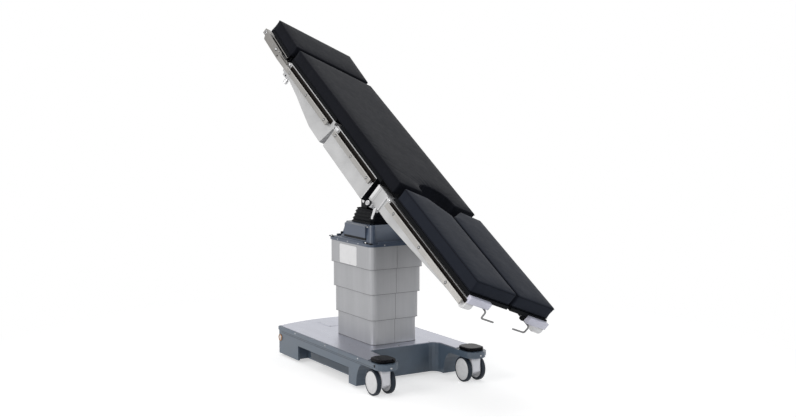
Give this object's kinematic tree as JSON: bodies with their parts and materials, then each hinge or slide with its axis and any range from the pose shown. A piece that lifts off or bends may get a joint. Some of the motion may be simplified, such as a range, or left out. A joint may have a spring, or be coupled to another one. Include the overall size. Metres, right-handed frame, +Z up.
{
  "type": "operating table",
  "caption": "Mobile operating table with a telescoping steel column, tilting sectioned top, split leg rests, side rails and a caster base.",
  "frame": {"origin": "on the floor under the middle of the whole table in its pictured posture; the column stands 32 mm to the head side and 27 mm to the near side of it", "axes": "+X to the foot end, +Y to the far side of the picture, +Z up"},
  "size_m": [2.0103, 0.6343, 1.7009],
  "materials": {
    "slate_paint": "satin slate paint",
    "brushed_steel": "brushed stainless",
    "rail_steel": "ground stainless",
    "silver_paint": "silver paint on castings",
    "black_steel": "black paint",
    "black_vinyl": "vinyl-coated fabric over foam",
    "black_rubber": "matt rubber",
    "white_plastic": "white moulded",
    "chrome": "polished"
  },
  "bodies": {
    "base": {"base_shell": "slate_paint", "base_deck_plate": "brushed_steel", "arm_bumper_near": "black_rubber", "arm_bumper_far": "black_rubber", "column_cover_1": "brushed_steel", "lift_guide": "black_steel"},
    "cover_two": {"column_cover_2": "brushed_steel"},
    "cover_three": {"column_cover_3": "brushed_steel"},
    "lift_head": {"column_cover_4": "brushed_steel", "column_hood": "slate_paint", "column_gaiter": "black_rubber", "column_head": "black_steel"},
    "tilt_cross": {"trunnion_cross": "chrome"},
    "seat": {"seat_frame": "black_steel", "seat_pad": "black_vinyl", "fold_pad": "black_vinyl", "seat_side_cover_near": "silver_paint", "seat_side_cover_far": "silver_paint", "seat_rail_near": "rail_steel", "seat_rail_far": "rail_steel"},
    "back": {"back_frame": "black_steel", "back_pad": "black_vinyl", "back_side_cover_near": "silver_paint", "back_side_cover_far": "silver_paint", "back_rail_near": "rail_steel", "back_rail_far": "rail_steel"},
    "head": {"head_frame": "black_steel", "head_pad": "black_vinyl", "head_side_bar_near": "rail_steel", "head_side_bar_far": "rail_steel"},
    "head_knob_near": {"head_clamp_knob_near": "chrome"},
    "head_knob_far": {"head_clamp_knob_far": "chrome"},
    "leg_block_near": {"leg_hinge_block_near": "silver_paint"},
    "lock_lever_near": {"leg_lock_lever_near": "chrome"},
    "leg_near": {"leg_side_cover_near": "silver_paint", "leg_frame_near": "black_steel", "leg_pad_near": "black_vinyl", "leg_rail_near": "rail_steel", "leg_gas_spring_near": "chrome"},
    "release_handle_near": {"leg_release_handle_near": "chrome"},
    "leg_block_far": {"leg_hinge_block_far": "silver_paint"},
    "lock_lever_far": {"leg_lock_lever_far": "chrome"},
    "leg_far": {"leg_side_cover_far": "silver_paint", "leg_frame_far": "black_steel", "leg_pad_far": "black_vinyl", "leg_rail_far": "rail_steel", "leg_gas_spring_far": "chrome"},
    "release_handle_far": {"leg_release_handle_far": "chrome"},
    "caster_head_near": {"caster_head_near": "white_plastic"},
    "wheels_head_near": {"caster_head_near_wheel_near": "black_rubber", "caster_head_near_wheel_far": "black_rubber"},
    "caster_head_far": {"caster_head_far": "white_plastic"},
    "wheels_head_far": {"caster_head_far_wheel_near": "black_rubber", "caster_head_far_wheel_far": "black_rubber"},
    "caster_foot_near": {"caster_foot_near": "white_plastic"},
    "wheels_foot_near": {"caster_foot_near_wheel_near": "black_rubber", "caster_foot_near_wheel_far": "black_rubber"},
    "caster_foot_far": {"caster_foot_far": "white_plastic"},
    "wheels_foot_far": {"caster_foot_far_wheel_near": "black_rubber", "caster_foot_far_wheel_far": "black_rubber"}
  },
  "joints": [
    {"name": "column_lift", "type": "slide", "parent": "base", "child": "lift_head", "axis": [0, 0, 1], "range_m": [-0.25, 0]},
    {"name": "cover_three_slide", "type": "slide", "parent": "base", "child": "cover_three", "axis": [0, 0, 1], "range_m": [-0.1668, 0]},
    {"name": "cover_two_slide", "type": "slide", "parent": "base", "child": "cover_two", "axis": [0, 0, 1], "range_m": [-0.0834, 0]},
    {"name": "trendelenburg", "type": "hinge", "parent": "lift_head", "child": "tilt_cross", "pos_m": [-0.032, -0.027, 0.8156], "axis": [0, -1, 0], "range_deg": [-1.2, 64.8]},
    {"name": "lateral_tilt", "type": "hinge", "parent": "tilt_cross", "child": "seat", "pos_m": [-0.032, -0.027, 0.8156], "axis": [0.8499, 0, -0.527], "range_deg": [-1.4, 48.6]},
    {"name": "back_section", "type": "hinge", "parent": "seat", "child": "back", "pos_m": [-0.1687, 0.03618, 1.0705], "axis": [-0.211, 0.9164, -0.3403], "range_deg": [-15, 68], "deforming": ["fold_pad"]},
    {"name": "head_section", "type": "hinge", "parent": "back", "child": "head", "pos_m": [-0.68207, 0.03297, 1.38018], "axis": [-0.211, 0.9164, -0.3403], "range_deg": [-45, 15]},
    {"name": "head_knob_turn_near", "type": "hinge", "parent": "back", "child": "head_knob_near", "pos_m": [-0.60656, -0.20036, 1.40708], "axis": [0.4829, 0.4003, 0.7788], "continuous": true},
    {"name": "head_knob_turn_far", "type": "hinge", "parent": "back", "child": "head_knob_far", "pos_m": [-0.70736, 0.23748, 1.24451], "axis": [0.4829, 0.4003, 0.7788], "continuous": true},
    {"name": "leg_flex_near", "type": "hinge", "parent": "seat", "child": "leg_block_near", "pos_m": [0.22581, 0.00495, 0.74179], "axis": [-0.211, 0.9164, -0.3403], "range_deg": [-12, 20]},
    {"name": "leg_swivel_near", "type": "hinge", "parent": "leg_block_near", "child": "leg_near", "pos_m": [0.33154, -0.23422, 0.80037], "axis": [-0.4695, -0.4003, -0.787], "range_deg": [0, 60]},
    {"name": "lock_lever_turn_near", "type": "hinge", "parent": "leg_block_near", "child": "lock_lever_near", "pos_m": [0.3193, -0.23451, 0.80718], "axis": [0.211, -0.9164, 0.3403], "range_deg": [0, 45]},
    {"name": "release_handle_turn_near", "type": "hinge", "parent": "leg_near", "child": "release_handle_near", "pos_m": [0.73796, -0.09674, 0.57948], "axis": [0.8574, 0.0063, -0.5147], "range_deg": [0, 30]},
    {"name": "leg_flex_far", "type": "hinge", "parent": "seat", "child": "leg_block_far", "pos_m": [0.22581, 0.00495, 0.74179], "axis": [-0.211, 0.9164, -0.3403], "range_deg": [-12, 20]},
    {"name": "leg_swivel_far", "type": "hinge", "parent": "leg_block_far", "child": "leg_far", "pos_m": [0.22124, 0.24486, 0.62249], "axis": [0.4695, 0.4003, 0.787], "range_deg": [0, 60]},
    {"name": "lock_lever_turn_far", "type": "hinge", "parent": "leg_block_far", "child": "lock_lever_far", "pos_m": [0.20901, 0.24457, 0.6293], "axis": [0.211, -0.9164, 0.3403], "range_deg": [0, 45]},
    {"name": "release_handle_turn_far", "type": "hinge", "parent": "leg_far", "child": "release_handle_far", "pos_m": [0.67636, 0.17084, 0.48013], "axis": [-0.8574, -0.0063, 0.5147], "range_deg": [0, 30]},
    {"name": "caster_swivel_head_near", "type": "hinge", "parent": "base", "child": "caster_head_near", "pos_m": [-0.427, -0.197, 0.121], "axis": [0, 0, 1], "continuous": true},
    {"name": "wheel_spin_head_near", "type": "hinge", "parent": "caster_head_near", "child": "wheels_head_near", "pos_m": [-0.457, -0.197, 0.0588], "axis": [0, 1, 0], "continuous": true},
    {"name": "caster_swivel_head_far", "type": "hinge", "parent": "base", "child": "caster_head_far", "pos_m": [-0.427, 0.143, 0.121], "axis": [0, 0, 1], "continuous": true},
    {"name": "wheel_spin_head_far", "type": "hinge", "parent": "caster_head_far", "child": "wheels_head_far", "pos_m": [-0.457, 0.143, 0.0588], "axis": [0, 1, 0], "continuous": true},
    {"name": "caster_swivel_foot_near", "type": "hinge", "parent": "base", "child": "caster_foot_near", "pos_m": [0.448, -0.2675, 0.121], "axis": [0, 0, 1], "continuous": true},
    {"name": "wheel_spin_foot_near", "type": "hinge", "parent": "caster_foot_near", "child": "wheels_foot_near", "pos_m": [0.418, -0.2675, 0.0588], "axis": [0, 1, 0], "continuous": true},
    {"name": "caster_swivel_foot_far", "type": "hinge", "parent": "base", "child": "caster_foot_far", "pos_m": [0.448, 0.2135, 0.121], "axis": [0, 0, 1], "continuous": true},
    {"name": "wheel_spin_foot_far", "type": "hinge", "parent": "caster_foot_far", "child": "wheels_foot_far", "pos_m": [0.418, 0.2135, 0.0588], "axis": [0, 1, 0], "continuous": true}
  ],
  "couplings": [
    {"joint": "cover_three_slide", "follows": "column_lift", "ratio": 0.6667},
    {"joint": "cover_two_slide", "follows": "column_lift", "ratio": 0.3333}
  ]
}
